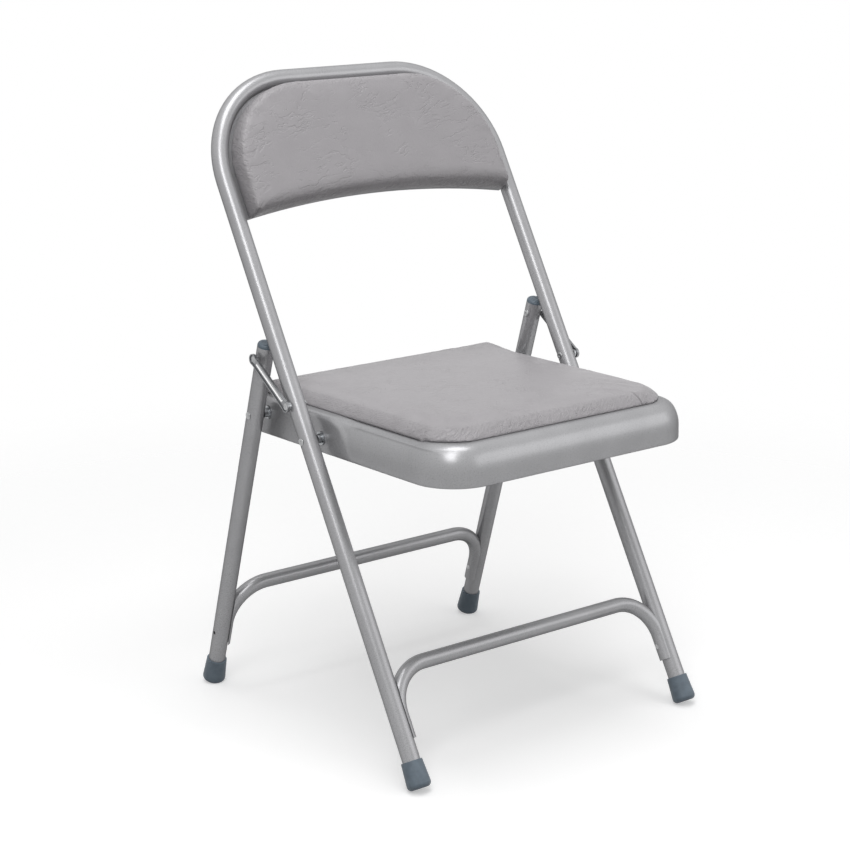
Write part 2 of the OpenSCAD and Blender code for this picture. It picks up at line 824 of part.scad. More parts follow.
module rear_brace_rivets() {
    color("gainsboro") in_rear_plane() both_sides() brace_rivet(rear_brace_up);
}

module rear_plug_right() {
    color("slategray") in_rear_plane() rear_plug();
}

module rear_plug_left() {
    on_left() rear_plug_right();
}

module rear_glide_right() {
    color("slategray") above_floor() in_rear_plane() foot(rear_lean);
}

module rear_glide_left() {
    on_left() rear_glide_right();
}

module leg_pivot_rivets() {
    color("gainsboro") in_rear_plane() both_sides() translate([0, 0, leg_pivot_up]) seat_rivet();
}

module leg_pivot_bushes() {
    color("dimgray") in_rear_plane() both_sides() translate([0, 0, leg_pivot_up]) seat_bush();
}

module stud_rivets() {
    color("gainsboro") in_rear_plane() both_sides() translate([0, 0, stud_up]) {
        bar_x(rivet_d, inner_face - fit, outer_face - fit);
        translate([inner_face, 0, 0]) mirror([1, 0, 0]) rivet_head(rivet_head_d, rivet_head_h);
    }
}

// ---- Sub-parts of the links ----

module link_right() {
    color("silver") in_link() link();
}

module link_left() {
    on_left() link_right();
}

module link_stud_right() {
    color("gainsboro") in_link() link_stud();
}

module link_stud_left() {
    on_left() link_stud_right();
}

front_frame_tube();
front_cross_brace();
front_brace_rivets();
front_glide_left();
front_glide_right();
back_panel();
back_board();
back_pad();
back_screws();
seat_pivot_rivets();
seat_pivot_bushes();
link_pivot_rivets();
link_pivot_spacers();
seat_pan();
hinge_plate_left();
hinge_plate_right();
seat_board();
seat_cushion();
seat_screws();
rear_leg_left();
rear_leg_right();
rear_cross_brace();
rear_brace_rivets();
rear_plug_left();
rear_plug_right();
rear_glide_left();
rear_glide_right();
leg_pivot_rivets();
leg_pivot_bushes();
stud_rivets();
link_left();
link_right();
link_stud_left();
link_stud_right();
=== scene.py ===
"""Looks of a padded steel folding chair, made around its packed construction frame.

The frame gives every rigid piece at its real size and place. This script gives the steel, the
plated hardware and the moulded feet their finishes, presses the seat pan, stuffs the cushion and
the back pad, and stands the chair in a plain studio. Lengths are in metres.
"""

from __future__ import annotations

import json
import logging
import math
from dataclasses import dataclass, field
from enum import Enum
from typing import Any, Callable, ClassVar, Iterable, Sequence

import bmesh
import bpy
from bpy.types import Material, Node, NodeSocket, NodeTree, Object
from mathutils import Matrix, Vector, noise
from mathutils.kdtree import KDTree

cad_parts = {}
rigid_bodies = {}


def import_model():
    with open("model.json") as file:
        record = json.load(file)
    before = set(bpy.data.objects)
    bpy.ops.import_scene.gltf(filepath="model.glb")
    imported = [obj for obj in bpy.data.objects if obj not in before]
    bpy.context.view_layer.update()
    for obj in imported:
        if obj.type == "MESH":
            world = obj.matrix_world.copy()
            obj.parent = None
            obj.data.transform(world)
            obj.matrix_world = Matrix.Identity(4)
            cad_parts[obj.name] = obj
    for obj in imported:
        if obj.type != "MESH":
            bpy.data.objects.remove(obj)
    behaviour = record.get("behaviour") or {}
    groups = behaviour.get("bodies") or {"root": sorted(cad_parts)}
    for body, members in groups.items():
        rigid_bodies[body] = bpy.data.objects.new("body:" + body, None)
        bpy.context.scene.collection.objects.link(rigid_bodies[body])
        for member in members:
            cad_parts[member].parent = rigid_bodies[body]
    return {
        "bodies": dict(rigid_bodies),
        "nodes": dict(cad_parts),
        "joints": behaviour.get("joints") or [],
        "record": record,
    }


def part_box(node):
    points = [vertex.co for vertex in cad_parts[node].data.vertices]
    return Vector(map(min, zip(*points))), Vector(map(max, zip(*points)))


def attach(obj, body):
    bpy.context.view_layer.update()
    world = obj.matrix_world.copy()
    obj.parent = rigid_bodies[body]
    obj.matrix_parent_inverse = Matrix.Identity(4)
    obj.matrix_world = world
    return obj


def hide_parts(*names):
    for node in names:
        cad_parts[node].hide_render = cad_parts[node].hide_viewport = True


LOG = logging.getLogger("folding_chair")
MM = 0.001
# Nearly all of a noise pattern's values lie in this span.
NOISE_SPAN = {"From Min": 0.3, "From Max": 0.7}

Point = tuple[float, float]


# ---- shader helpers ----


def linear(hex_colour: str) -> tuple[float, float, float, float]:
    """Turn an sRGB hex colour into the linear colour that shaders take.

    Args:
        hex_colour: Six hex digits after a hash.

    Returns:
        Linear red, green, blue and an alpha of 1.
    """
    channels = [int(hex_colour[i : i + 2], 16) / 255 for i in (1, 3, 5)]
    curve = [c / 12.92 if c <= 0.04045 else ((c + 0.055) / 1.055) ** 2.4 for c in channels]
    return (curve[0], curve[1], curve[2], 1.0)


def add_node(
    tree: NodeTree,
    kind: str,
    inputs: dict[str | int, Any] | None = None,
    stops: Sequence[tuple[float, str]] = (),
    **settings: Any,
) -> Node:
    """Add a node, set it up and link what feeds it.

    Args:
        tree: The tree that gets the node.
        kind: The node's type name, where a shader node's goes without its first two words.
        inputs: What each input gets: a value, an output socket, or a node for its first output.
        stops: The position and hex colour of each stop, where the node is a ramp.
        settings: Properties of the node itself.

    Returns:
        The new node.
    """
    node = tree.nodes.new(kind if "Node" in kind else "ShaderNode" + kind)
    for name, value in settings.items():
        setattr(node, name, value)
    for name, value in (inputs or {}).items():
        source = value.outputs[0] if isinstance(value, Node) else value
        if isinstance(source, NodeSocket):
            tree.links.new(source, node.inputs[name])
        else:
            node.inputs[name].default_value = source
    if stops:
        for element, (position, colour) in zip(node.color_ramp.elements, stops):
            element.position = position
            element.color = linear(colour)
    return node


def new_material(name: str) -> tuple[Material, NodeTree]:
    """Start a node material.

    Args:
        name: The material's name.

    Returns:
        The material and its empty tree.
    """
    material = bpy.data.materials.new(name)
    material.use_nodes = True
    material.node_tree.nodes.clear()
    return material, material.node_tree


# ---- finishes ----


@dataclass(frozen=True)
class Finish:
    """What every finish shares: a name, two tones that one pattern blends, and one shader."""

    span: ClassVar[Point] = (0.3, 0.7)
    name: str
    pale: str
    deep: str

    def surface(self, tree: NodeTree, place: NodeSocket) -> dict[str, Any]:
        """Draw the finish's patterns.

        Args:
            tree: The material's tree.
            place: Where the shaded point is, in metres.

        Returns:
            What each of the shader's inputs gets; the base colour gets the pattern of its tones.
        """
        raise NotImplementedError

    def build(self) -> Material:
        """Make the material, whose colour runs from the deep tone to the pale one over the pattern's span.

        Returns:
            The material.
        """
        material, tree = new_material(self.name)
        inputs = self.surface(tree, add_node(tree, "TexCoord").outputs["Object"])
        stops = list(zip(self.span, (self.deep, self.pale)))
        inputs["Base Color"] = add_node(tree, "ValToRGB", {"Fac": inputs["Base Color"]}, stops)
        add_node(tree, "OutputMaterial", {"Surface": add_node(tree, "BsdfPrincipled", inputs)})
        return material


@dataclass(frozen=True)
class SilverEnamel(Finish):
    """Aluminium-flake enamel, sprayed and baked on steel: silver grey, with soft bright streaks."""

    span: ClassVar[Point] = (0.35, 0.65)
    name: str = "silver_flake_enamel_on_steel"
    pale: str = "#b5b5b7"
    deep: str = "#a9a9ab"
    sheen: str = "#3e3e40"
    metal: float = 0.42
    flake_size: float = 0.7 * MM
    cloud_size: float = 40 * MM
    orange_peel: float = 2.2 * MM

    def surface(self, tree: NodeTree, place: NodeSocket) -> dict[str, Any]:
        """Lay flake sparkle, slight clouding and a trace of orange peel."""
        # Flakes are a tenth of a millimetre or less; they are drawn coarser so that they show.
        flake = add_node(tree, "TexNoise", {"Vector": place, "Scale": 1 / self.flake_size, "Detail": 2.0})
        cloud = add_node(tree, "TexNoise", {"Vector": place, "Scale": 1 / self.cloud_size, "Detail": 3.0})
        speckle = add_node(tree, "Mix", {"Factor": 0.35, "A": flake, "B": cloud}, data_type="FLOAT")
        rough = add_node(tree, "MapRange", {**NOISE_SPAN, "Value": flake, "To Min": 0.25, "To Max": 0.35})
        peel = add_node(tree, "TexNoise", {"Vector": place, "Scale": 1 / self.orange_peel, "Detail": 1.0})
        ripple = add_node(tree, "Bump", {"Strength": 0.12, "Distance": 0.04 * MM, "Height": peel})
        glint = {"Strength": 0.8, "Distance": 0.03 * MM, "Height": flake, "Normal": ripple}
        return {
            "Base Color": speckle,
            "Metallic": self.metal,
            "Specular IOR Level": 0.1,
            "Specular Tint": linear(self.sheen),
            "Roughness": rough,
            "Normal": add_node(tree, "Bump", glint),
        }


@dataclass(frozen=True)
class PlatedSteel(Finish):
    """Zinc-plated rivets, screws, bushes and spacers: brighter than the enamel, with fine turning."""

    turning: float = 0.5 * MM
    cloud_size: float = 6 * MM

    def surface(self, tree: NodeTree, place: NodeSocket) -> dict[str, Any]:
        """Lay faint scratches and cloudy patches."""
        cloud = add_node(tree, "TexNoise", {"Vector": place, "Scale": 1 / self.cloud_size, "Detail": 4.0})
        scratch = add_node(tree, "TexNoise", {"Vector": place, "Scale": 1 / self.turning, "Detail": 2.0})
        rough = add_node(tree, "MapRange", {**NOISE_SPAN, "Value": scratch, "To Min": 0.24, "To Max": 0.36})
        return {"Base Color": cloud, "Metallic": 1.0, "Roughness": rough}


@dataclass(frozen=True)
class PressedLink(Finish):
    """Plated steel link: the rib along its middle is painted near white, a painted highlight for the glare on
    its bead, and the rest stays dull.
    """

    span: ClassVar[Point] = (0.0, 1.0)
    start: Vector
    end: Vector
    rib: float = 1.9 * MM
    eye: float = 10 * MM

    def band(self, tree: NodeTree, place: NodeSocket, direction: Vector, full: float, gone: float) -> Node:
        """Mark a band across the link's middle.

        Args:
            tree: The material's tree.
            place: Where the shaded point is.
            direction: The unit direction to measure along.
            full: Distance from the middle up to which the mark is 1.
            gone: Distance from which it is 0.

        Returns:
            The node that gives the mark.
        """
        middle = ((self.start + self.end) / 2).dot(direction)
        offset = add_node(tree, "VectorMath", {0: place, 1: direction}, operation="DOT_PRODUCT")
        side = add_node(tree, "Math", {0: offset.outputs["Value"], 1: middle}, operation="SUBTRACT")
        away = add_node(tree, "Math", {0: side}, operation="ABSOLUTE")
        span = {"Value": away, "From Min": full, "From Max": gone, "To Min": 1.0, "To Max": 0.0}
        return add_node(tree, "MapRange", span, interpolation_type="SMOOTHSTEP")

    def surface(self, tree: NodeTree, place: NodeSocket) -> dict[str, Any]:
        """Paint the plating near white along the rib, as a painted highlight for the glare on its bead, and
        keep it dull on the rim and on the eye at each end.
        """
        span = Vector((0, self.end.y - self.start.y, self.end.z - self.start.z))
        run, half = span.normalized(), span.length / 2
        across = self.band(tree, place, Vector((0, -run.z, run.y)), 0.8 * self.rib, 1.1 * self.rib)
        along = self.band(tree, place, run, half - self.eye, half - 0.8 * self.eye)
        # Painted highlight: this mask lifts the base colour to near white along the rib, where the bead shows
        # glare.
        painted_rib_highlight = add_node(tree, "Math", {0: across, 1: along}, operation="MULTIPLY")
        rough = add_node(tree, "MapRange", {"Value": painted_rib_highlight, "To Min": 0.34, "To Max": 0.2})
        return {"Base Color": painted_rib_highlight, "Metallic": 1.0, "Roughness": rough}


@dataclass(frozen=True)
class MouldedPlastic(Finish):
    """Low-density polyethylene, injection moulded: slate blue-grey, matte with a soft sheen."""

    name: str = "slate_moulded_polyethylene"
    pale: str = "#73808b"
    deep: str = "#66727d"
    spark: float = 0.7 * MM
    cloud_size: float = 9 * MM

    def surface(self, tree: NodeTree, place: NodeSocket) -> dict[str, Any]:
        """Lay the spark-eroded grain of the mould and a little floor dust."""
        grain = add_node(tree, "TexNoise", {"Vector": place, "Scale": 1 / self.spark, "Detail": 3.0})
        cloud = add_node(tree, "TexNoise", {"Vector": place, "Scale": 1 / self.cloud_size, "Detail": 2.0})
        bump = add_node(tree, "Bump", {"Strength": 0.35, "Distance": 0.05 * MM, "Height": grain})
        return {"Base Color": cloud, "Roughness": 0.52, "IOR": 1.51, "Normal": bump}


@dataclass(frozen=True)
class Hardboard(Finish):
    """Pressed wood fibre, seen only at the edges of the pads' pockets: warm brown and matte."""

    name: str = "pressed_hardboard"
    pale: str = "#a5784e"
    deep: str = "#7d5733"
    fibre: float = 1.5 * MM

    def surface(self, tree: NodeTree, place: NodeSocket) -> dict[str, Any]:
        """Mottle the board with its fibres."""
        fibres = add_node(tree, "TexNoise", {"Vector": place, "Scale": 1 / self.fibre, "Detail": 6.0})
        return {"Base Color": fibres, "Roughness": 0.8}


@dataclass(frozen=True)
class UpholsteryVinyl(Finish):
    """Calendered PVC on knit backing, stretched over foam: grey, softly shiny, finely creased."""

    name: str = "grey_upholstery_vinyl"
    pale: str = "#a3a0a3"
    deep: str = "#9f9c9f"
    pebble: float = 1.1 * MM
    mottle: float = 5 * MM
    shade: float = 28 * MM
    crease: float = 3.4 * MM
    wander: float = 18 * MM
    patch: float = 45 * MM

    def surface(self, tree: NodeTree, place: NodeSocket) -> dict[str, Any]:
        """Lay the embossed pebble grain, long faint creases, and puckers along the edges."""
        pebbles = add_node(
            tree,
            "TexVoronoi",
            {"Vector": place, "Scale": 1 / self.pebble, "Smoothness": 0.6, "Randomness": 1.0},
            feature="SMOOTH_F1",
        )
        mottles = add_node(
            tree,
            "TexNoise",
            {"Vector": place, "Scale": 1 / self.mottle, "Detail": 4.0, "Roughness": 0.6, "Distortion": 0.6},
        )
        shades = add_node(tree, "TexNoise", {"Vector": place, "Scale": 1 / self.shade, "Detail": 4.0})
        rough = add_node(tree, "MapRange", {**NOISE_SPAN, "Value": mottles, "To Min": 0.38, "To Max": 0.48})
        relief: Node | None = None
        for strength, depth, height in (
            (0.6, 0.2 * MM, pebbles),
            (0.5, 0.4 * MM, mottles),
            (-0.75, 0.5 * MM, self.face_creases(tree, place)),
            (1.0, 0.75 * MM, self.puckers(tree)),
        ):
            under = {"Normal": relief} if relief else {}
            relief = add_node(
                tree,
                "Bump",
                {"Strength": abs(strength), "Distance": depth, "Height": height, **under},
                invert=strength < 0,
            )
        return {
            "Base Color": shades,
            "Roughness": rough,
            "IOR": 1.5,
            "Sheen Weight": 0.08,
            "Normal": relief,
        }

    def puckers(self, tree: NodeTree) -> Node:
        """Draw the slanted puckers that the skin's lay attribute leads round the edges.

        Args:
            tree: The material's tree.

        Returns:
            The node that gives the puckers' height.
        """
        # The lay holds the distance round the pad, the distance up its wall, and how strongly the
        # skin puckers there.
        lay = add_node(tree, "Attribute", attribute_name="lay").outputs["Vector"]
        mask = add_node(tree, "SeparateXYZ", {"Vector": lay}).outputs["Z"]
        turn = {"Vector": lay, "Angle": math.radians(38)}
        slant = add_node(tree, "VectorRotate", turn, rotation_type="Z_AXIS")
        drawn = add_node(tree, "VectorMath", {0: slant, 1: (1.0, 0.24, 0.0)}, operation="MULTIPLY")
        waves = {"Vector": drawn, "Scale": 1 / self.crease, "Detail": 1.0, "Distortion": 0.5}
        pucker = add_node(tree, "TexNoise", waves, noise_dimensions="2D")
        repeats = add_node(tree, "Math", {0: pucker, 1: 2.6}, operation="MULTIPLY")
        ridge = add_node(tree, "Math", {0: repeats, 1: 0.5}, operation="PINGPONG")
        return add_node(tree, "Math", {0: ridge, 1: mask}, operation="MULTIPLY")

    def face_creases(self, tree: NodeTree, place: NodeSocket) -> Node:
        """Draw the long wandering creases that vinyl keeps from its roll, in patches.

        Args:
            tree: The material's tree.
            place: Where the surface is.

        Returns:
            The node that gives the creases' depth.
        """
        turn = {"Vector": place, "Angle": math.radians(16)}
        turned = add_node(tree, "VectorRotate", turn, rotation_type="Y_AXIS")
        drawn = add_node(tree, "VectorMath", {0: turned, 1: (0.34, 0.6, 1.0)}, operation="MULTIPLY")
        wander = add_node(
            tree,
            "TexNoise",
            {"Vector": drawn, "Scale": 1 / self.wander, "Detail": 5.0, "Roughness": 0.6, "Distortion": 0.4},
        )
        bands = add_node(tree, "Math", {0: wander, 1: 6.0}, operation="MULTIPLY")
        fold = add_node(tree, "Math", {0: bands, 1: 0.5}, operation="PINGPONG")
        edge = {"Value": fold, "From Min": 0.0, "From Max": 0.2, "To Min": 1.0, "To Max": 0.0}
        line = add_node(tree, "MapRange", edge, interpolation_type="SMOOTHSTEP")
        spread = add_node(tree, "TexNoise", {"Vector": place, "Scale": 1 / self.patch, "Detail": 3.0})
        share = {"Value": spread, "From Min": 0.36, "From Max": 0.64}
        patch = add_node(tree, "MapRange", share, interpolation_type="SMOOTHSTEP")
        return add_node(tree, "Math", {0: line, 1: patch}, operation="MULTIPLY")


# ---- shapes ----


class Side(Enum):
    """The sitter's sides of the chair, by their sign along X."""

    LEFT = -1
    RIGHT = 1


@dataclass(frozen=True)
class Outline:
    """A closed flat outline, anticlockwise, with the outward normal at each point."""

    points: tuple[Vector, ...]
    normals: tuple[Vector, ...]

    @staticmethod
    def of(points: Sequence[Vector]) -> "Outline":
        """Work out mitred outward normals for a closed anticlockwise run of points.

        Args:
            points: The outline's points in order, without the first one again at the end.

        Returns:
            The outline, whose normals are lengthened at sharp turns so that insets keep even.
        """
        count = len(points)
        normals = []
        for i, point in enumerate(points):
            before = (point - points[i - 1]).normalized()
            after = (points[(i + 1) % count] - point).normalized()
            left = Vector((before.y, -before.x))
            right = Vector((after.y, -after.x))
            middle = (left + right).normalized()
            normals.append(middle / max(0.3, middle.dot(left)))
        return Outline(tuple(points), tuple(normals))

    def inset(self, distance: float) -> list[Vector]:
        """Return the outline's points, drawn in by a distance."""
        return [p - n * distance for p, n in zip(self.points, self.normals)]


def seat_plan(piece: SeatPan | SeatCushion) -> Outline:
    """Draw the plan of a seat's piece: straight sides, and rounds that are larger at the front.

    Args:
        piece: The pan or the cushion.

    Returns:
        The closed outline, about the seat's pivot.
    """
    front, rear, net = piece.front_radius, piece.rear_radius, piece.net
    x_front, x_rear = piece.half_width - front, piece.half_width - rear
    y_front, y_rear = front - piece.front, piece.rear - rear
    centres = [(x_front, y_front), (x_rear, y_rear), (-x_rear, y_rear), (-x_front, y_front)]
    points: list[Vector] = []
    for quarter, (centre, radius) in enumerate(zip(centres, (front, rear, rear, front))):
        points += arc(centre, radius, 90 * quarter - 90, 90 * quarter, net)
    return Outline.of(spaced(points, net))


def arc(centre: Point, radius: float, start: float, end: float, step: float) -> list[Vector]:
    """Points along an arc.

    Args:
        centre: The arc's centre.
        radius: Its radius.
        start: First angle in degrees.
        end: Last angle in degrees.
        step: Longest distance between two points.

    Returns:
        The points, both ends included.
    """
    sweep = math.radians(end - start)
    count = max(2, math.ceil(abs(sweep) * radius / step))
    angles = [math.radians(start) + sweep * i / count for i in range(count + 1)]
    return [Vector((centre[0] + radius * math.cos(a), centre[1] + radius * math.sin(a))) for a in angles]


def spaced(points: Sequence[Vector], step: float) -> list[Vector]:
    """Fill the straight stretches of a closed outline.

    Args:
        points: The outline's points in order.
        step: The usual distance between two points.

    Returns:
        The points with evenly spaced ones between them.
    """
    filled = []
    for i, point in enumerate(points):
        after = points[(i + 1) % len(points)]
        gap = (after - point).length
        if gap < 1e-6:
            continue
        pieces = max(1, round(gap / step))
        filled.extend(point.lerp(after, k / pieces) for k in range(pieces))
    return filled


def add_piece(name: str, data: bpy.types.ID) -> Object:
    """Put something into the scene.

    Args:
        name: The new object's name.
        data: Its mesh, camera or lamp.

    Returns:
        The new object.
    """
    piece = bpy.data.objects.new(name, data)
    bpy.context.scene.collection.objects.link(piece)
    return piece


def loft(name: str, rings: Sequence[Sequence[Vector]], cap_first: bool) -> Object:
    """Skin a stack of closed rings and close the last one.

    Args:
        name: The new object's name.
        rings: Rings of the same number of points, each anticlockwise seen from above the last.
        cap_first: True to close the first ring too.

    Returns:
        The new object, in the scene.
    """
    mesh = bpy.data.meshes.new(name)
    build = bmesh.new()
    rows = [[build.verts.new(p) for p in ring] for ring in rings]
    for lower, upper in zip(rows, rows[1:]):
        for i in range(len(lower)):
            build.faces.new((lower[i - 1], lower[i], upper[i], upper[i - 1]))
    if cap_first:
        build.faces.new(list(reversed(rows[0])))
    build.faces.new(rows[-1])
    build.normal_update()
    build.to_mesh(mesh)
    build.free()
    mesh.shade_smooth()
    return add_piece(name, mesh)


def apply_modifiers(piece: Object) -> None:
    """Bake a piece's modifiers into its mesh and remove them.

    Args:
        piece: The piece, which gets the new mesh.
    """
    graph = bpy.context.evaluated_depsgraph_get()
    baked = bpy.data.meshes.new_from_object(piece.evaluated_get(graph), depsgraph=graph)
    piece.modifiers.clear()
    old = piece.data
    piece.data = baked
    bpy.data.meshes.remove(old)
    baked.name = piece.name


def smoothstep(low: float, high: float, value: float) -> float:
    """Ease from 0 at low to 1 at high."""
    t = min(1.0, max(0.0, (value - low) / (high - low)))
    return t * t * (3 - 2 * t)


def facing_front(normal: Vector, low: float, high: float) -> float:
    """Tell how far an outline's normal points to the front or down, easing from 0 at low to 1 at high."""
    return smoothstep(low, high, -normal.normalized().y)


@dataclass
class Stuffing:
    """How a skin is blown up over its foam: cloth under pressure, held where it is tacked down."""

    swell: float
    voxel: float = 4.5 * MM
    pressure: float = 4.0
    frames: int = 20
    stiffness: float = 12.0

    def remesh(self, piece: Object) -> None:
        """Give a skin an even net of quads.

        Args:
            piece: The skin.
        """
        modifier = piece.modifiers.new("net", "REMESH")
        modifier.mode = "VOXEL"
        modifier.voxel_size = self.voxel
        modifier.use_smooth_shade = True
        apply_modifiers(piece)

    def blow_up(self, piece: Object, held: Callable[[Vector], float]) -> None:
        """Run the cloth and keep a capped share of each point's movement.

        Args:
            piece: The remeshed skin.
            held: Gives how firmly a point is tacked down, from 0 to 1.
        """
        group = piece.vertex_groups.new(name="tacked")
        for vertex in piece.data.vertices:
            group.add([vertex.index], held(vertex.co), "REPLACE")
        modifier = piece.modifiers.new("cloth", "CLOTH")
        for name, value in {
            "quality": 6,
            "mass": 0.3,
            "tension_stiffness": self.stiffness,
            "compression_stiffness": self.stiffness,
            "shear_stiffness": 5.0,
            "bending_stiffness": 0.5,
            "use_pressure": True,
            "uniform_pressure_force": self.pressure,
            "vertex_group_mass": group.name,
            "pin_stiffness": 1.0,
        }.items():
            setattr(modifier.settings, name, value)
        modifier.settings.effector_weights.gravity = 0.0
        modifier.point_cache.frame_start = 1
        modifier.point_cache.frame_end = self.frames
        before = [v.co.copy() for v in piece.data.vertices]
        scene = bpy.context.scene
        for frame in range(1, self.frames + 1):
            scene.frame_set(frame)
        graph = bpy.context.evaluated_depsgraph_get()
        after = [v.co.copy() for v in piece.evaluated_get(graph).data.vertices]
        piece.modifiers.clear()
        scene.frame_set(1)
        largest = 0.0
        for vertex, old, new in zip(piece.data.vertices, before, after):
            shift = new - old
            largest = max(largest, shift.length)
            vertex.co = old + shift / (1.0 + shift.length / self.swell)
        piece.vertex_groups.clear()
        LOG.info("%s swelled by up to %.1f mm before the cap", piece.name, largest / MM)


# ---- the chair ----


@dataclass
class ChairFrame:
    """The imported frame, and the planes that the pieces are drawn in."""

    loaded: dict[str, Any]
    front_lean: float = math.radians(30.2)
    seat_slope: float = math.radians(0.93)

    def middle(self, node: str) -> Vector:
        """Return the middle of a node's box."""
        low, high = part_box(node)
        return (Vector(low) + Vector(high)) / 2

    def joint(self, name: str) -> Vector:
        """Find where a joint turns.

        Args:
            name: The joint's name.

        Returns:
            A point on its axis, in metres.
        """
        for joint in self.loaded["joints"]:
            if joint["name"] == name:
                return Vector(joint["pos_m"])
        raise KeyError(name)

    @property
    def seat(self) -> Matrix:
        """The seat's own frame: its pivot is the origin and its top is level."""
        return Matrix.Translation(self.joint("seat_fold")) @ Matrix.Rotation(-self.seat_slope, 4, "X")

    @property
    def front(self) -> Matrix:
        """The front frame's plane: X across, Y out of its front, and Z up along the tubes."""
        pivot = self.joint("seat_fold")
        footing = Vector((0, pivot.y - pivot.z * math.tan(self.front_lean), 0))
        turn = Matrix.Rotation(-self.front_lean, 4, "X")
        return Matrix.Translation(footing) @ turn @ Matrix.Diagonal((1, -1, 1, 1))


@dataclass
class SeatPan:
    """The pressed steel pan: a swelling shoulder, a hem, and flat sides where it is hinged."""

    frame: ChairFrame
    finish: Material
    half_width: float = 200.5 * MM
    front: float = 246 * MM
    rear: float = 155 * MM
    below: float = 18.4 * MM
    above: float = 30 * MM
    front_radius: float = 58 * MM
    rear_radius: float = 26 * MM
    lower_edge: float = 1.6 * MM
    hem: float = 8 * MM
    sheet: float = 1.2 * MM
    shoulder_drop: float = 32 * MM
    shoulder_radius: float = 45 * MM
    roll: float = 26 * MM
    roll_proud: float = 1 * MM
    crease_turn: float = 34.5
    crease_end: float = 48.8
    flat_roll: float = 6 * MM
    draw: float = 0.4 * MM
    hinge_foot: float = -64 * MM
    hinge_rake: float = 28 * MM
    step_width: float = 7 * MM
    fade_width: float = 50 * MM
    front_depth: float = 22 * MM
    net: float = 3.5 * MM

    def hinge_line(self, z: float) -> float:
        """Return how far back the flat of the side begins at a height."""
        rise = (z + self.below) / (self.above + self.below)
        return self.hinge_foot + self.hinge_rake * rise

    def step_spread(self, z: float) -> float:
        """Return how gently the flat begins at a height: a step below the crease, a long fade above it."""
        return self.step_width + (self.fade_width - self.step_width) * smoothstep(17 * MM, 25 * MM, z)

    def lower_wall(self) -> list[Point]:
        """Run from the inner edge of the hem, round the lower edge to the foot of the wall.

        Returns:
            Pairs of inset and height.
        """
        edge, low = self.lower_edge, -self.below
        turn = [(1 - math.sin(a), 1 - math.cos(a)) for a in (0, 0.5, 1.05, 1.5708)]
        hem = [(edge + self.hem, low), (edge + self.hem / 2, low)]
        return hem + [(edge * inward, low + edge * upward) for inward, upward in turn]

    def shoulder(self, creased: bool) -> list[Point]:
        """Run up the wall and over the shoulder.

        Args:
            creased: True for the sides, whose two rounds meet at a crease; False for the front.

        Returns:
            Pairs of inset and height, the same number for both kinds.
        """
        foot = -self.below + self.lower_edge
        start = self.above - self.shoulder_drop
        steps, low_turns, turns = 6, 10, 12
        wall = [(0.0, foot + (start - foot) * k / steps) for k in range(1, steps)]
        if creased:
            wall = [(self.draw * smoothstep(foot, foot + 5 * MM, z), z) for _, z in wall]
            rounds = []
            for k in range(low_turns + 1):
                a = math.radians(self.crease_turn) * k / low_turns
                drawn = self.draw * (1 - k / low_turns)
                inset = self.shoulder_radius * (1 - math.cos(a)) + drawn
                rounds.append((inset, start + self.shoulder_radius * math.sin(a)))
            for k in range(turns + 1):
                a = math.radians(self.crease_end + (90 - self.crease_end) * k / turns)
                inset = self.roll * (1 - math.cos(a)) - self.roll_proud
                rounds.append((inset, self.above - self.roll * (1 - math.sin(a))))
        else:
            depth, drop, count = self.front_depth, self.shoulder_drop, low_turns + turns + 1
            angles = [math.pi / 2 * k / count for k in range(count + 1)]
            rounds = [(depth * (1 - math.cos(a)), start + drop * math.sin(a)) for a in angles]
        return wall + rounds

    def flat_side(self, count: int) -> list[Point]:
        """Run straight up the wall and over its small upper round.

        Args:
            count: How many points to use.

        Returns:
            Pairs of inset and height.
        """
        foot = -self.below + self.lower_edge
        turn_at = self.above - self.flat_roll
        climb, turns = 14, 7
        points = [(0.0, foot + (turn_at - foot) * (k + 1) / climb) for k in range(climb)]
        for k in range(1, turns + 1):
            a = math.pi / 2 * k / turns
            points.append((self.flat_roll * (1 - math.cos(a)), turn_at + self.flat_roll * math.sin(a)))
        rest = count - len(points)
        reach = self.roll - self.roll_proud - self.flat_roll
        points += [(self.flat_roll + reach * (k + 1) / rest, self.above) for k in range(rest)]
        return points

    def form(self, outline: Outline) -> list[list[Vector]]:
        """Give the pan's rings, from the hem to the edge of the flat top.

        Args:
            outline: The pan's plan.

        Returns:
            Rings of points in the seat's frame.
        """
        creased, smooth = self.shoulder(True), self.shoulder(False)
        flat = self.flat_side(len(creased))
        lower = self.lower_wall()
        rings = [[Vector((p.x, p.y, z)) for p in outline.inset(inset)] for inset, z in lower]
        for sharp, soft, upright in zip(creased, smooth, flat):
            ring = []
            for point, normal in zip(outline.points, outline.normals):
                toward_front = facing_front(normal, 0.25, 0.8)
                inset = sharp[0] + (soft[0] - sharp[0]) * toward_front
                z = sharp[1] + (soft[1] - sharp[1]) * toward_front
                level = (z + upright[1]) / 2
                line, spread = self.hinge_line(level), self.step_spread(level)
                flatness = smoothstep(line - spread / 2, line + spread / 2, point.y)
                inset += (upright[0] - inset) * flatness
                z += (upright[1] - z) * flatness
                spot = point - normal * inset
                ring.append(Vector((spot.x, spot.y, z)))
            rings.append(ring)
        for gap in (0.4 * MM, 0.8 * MM):
            inner = outline.inset(self.roll - self.roll_proud + gap)
            rings.append([Vector((p.x, p.y, self.above)) for p in inner])
        return rings

    def build(self) -> Object:
        """Form the pan, give it its thickness, and hang it on the seat.

        Returns:
            The pan.
        """
        outline = seat_plan(self)
        rings = [[self.frame.seat @ p for p in ring] for ring in self.form(outline)]
        pan = loft("seat_pan_pressed", rings, cap_first=False)
        wall = pan.modifiers.new("sheet", "SOLIDIFY")
        wall.thickness = self.sheet
        wall.offset = -1.0
        wall.use_even_offset = True
        apply_modifiers(pan)
        pan.data.materials.clear()
        pan.data.materials.append(self.finish)
        pan.data.shade_smooth()
        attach(pan, "seat")
        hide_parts("seat_pan")
        return pan


